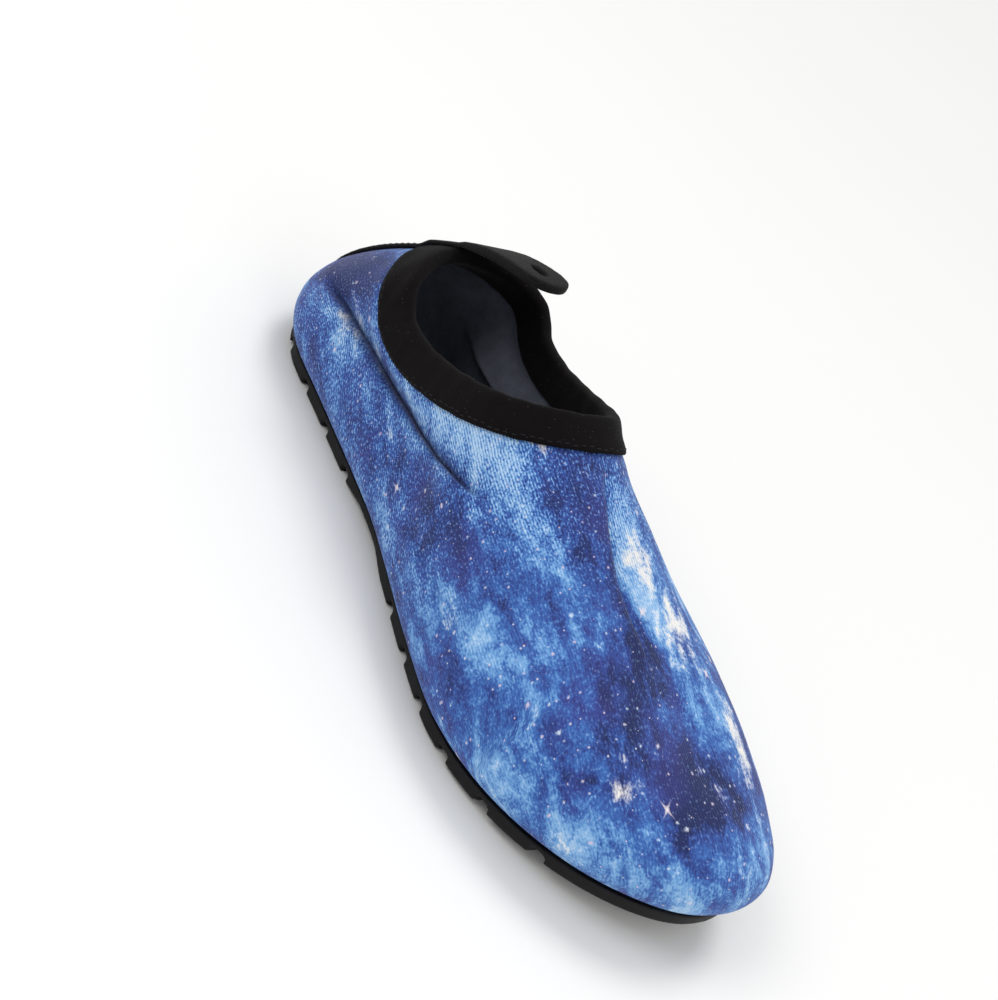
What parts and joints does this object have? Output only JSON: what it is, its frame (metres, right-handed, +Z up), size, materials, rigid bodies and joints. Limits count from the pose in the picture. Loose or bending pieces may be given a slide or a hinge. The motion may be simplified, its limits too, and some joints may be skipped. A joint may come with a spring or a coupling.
{
  "type": "water shoe",
  "caption": "Slip-on water shoe with a thin printed knit upper, black bound collar, heel pull tab and low grooved rubber sole.",
  "frame": {"origin": "middle of the shoe's outline, on the floor", "axes": "+X towards the toe, +Y towards the inner (medial) side of the foot, +Z up"},
  "size_m": [0.2512, 0.093, 0.0751],
  "materials": {
    "knit": "matt printed stretch knit",
    "binding": "matt black stretch tape",
    "heel_tape": "matt black woven tape",
    "rubber": "moulded, satin black",
    "insole_foam": "fabric-faced foam"
  },
  "bodies": {
    "root": {"upper": "knit", "collar_binding": "binding", "heel_pull_tab": "heel_tape", "outsole": "rubber", "insole": "insole_foam"}
  },
  "joints": []
}
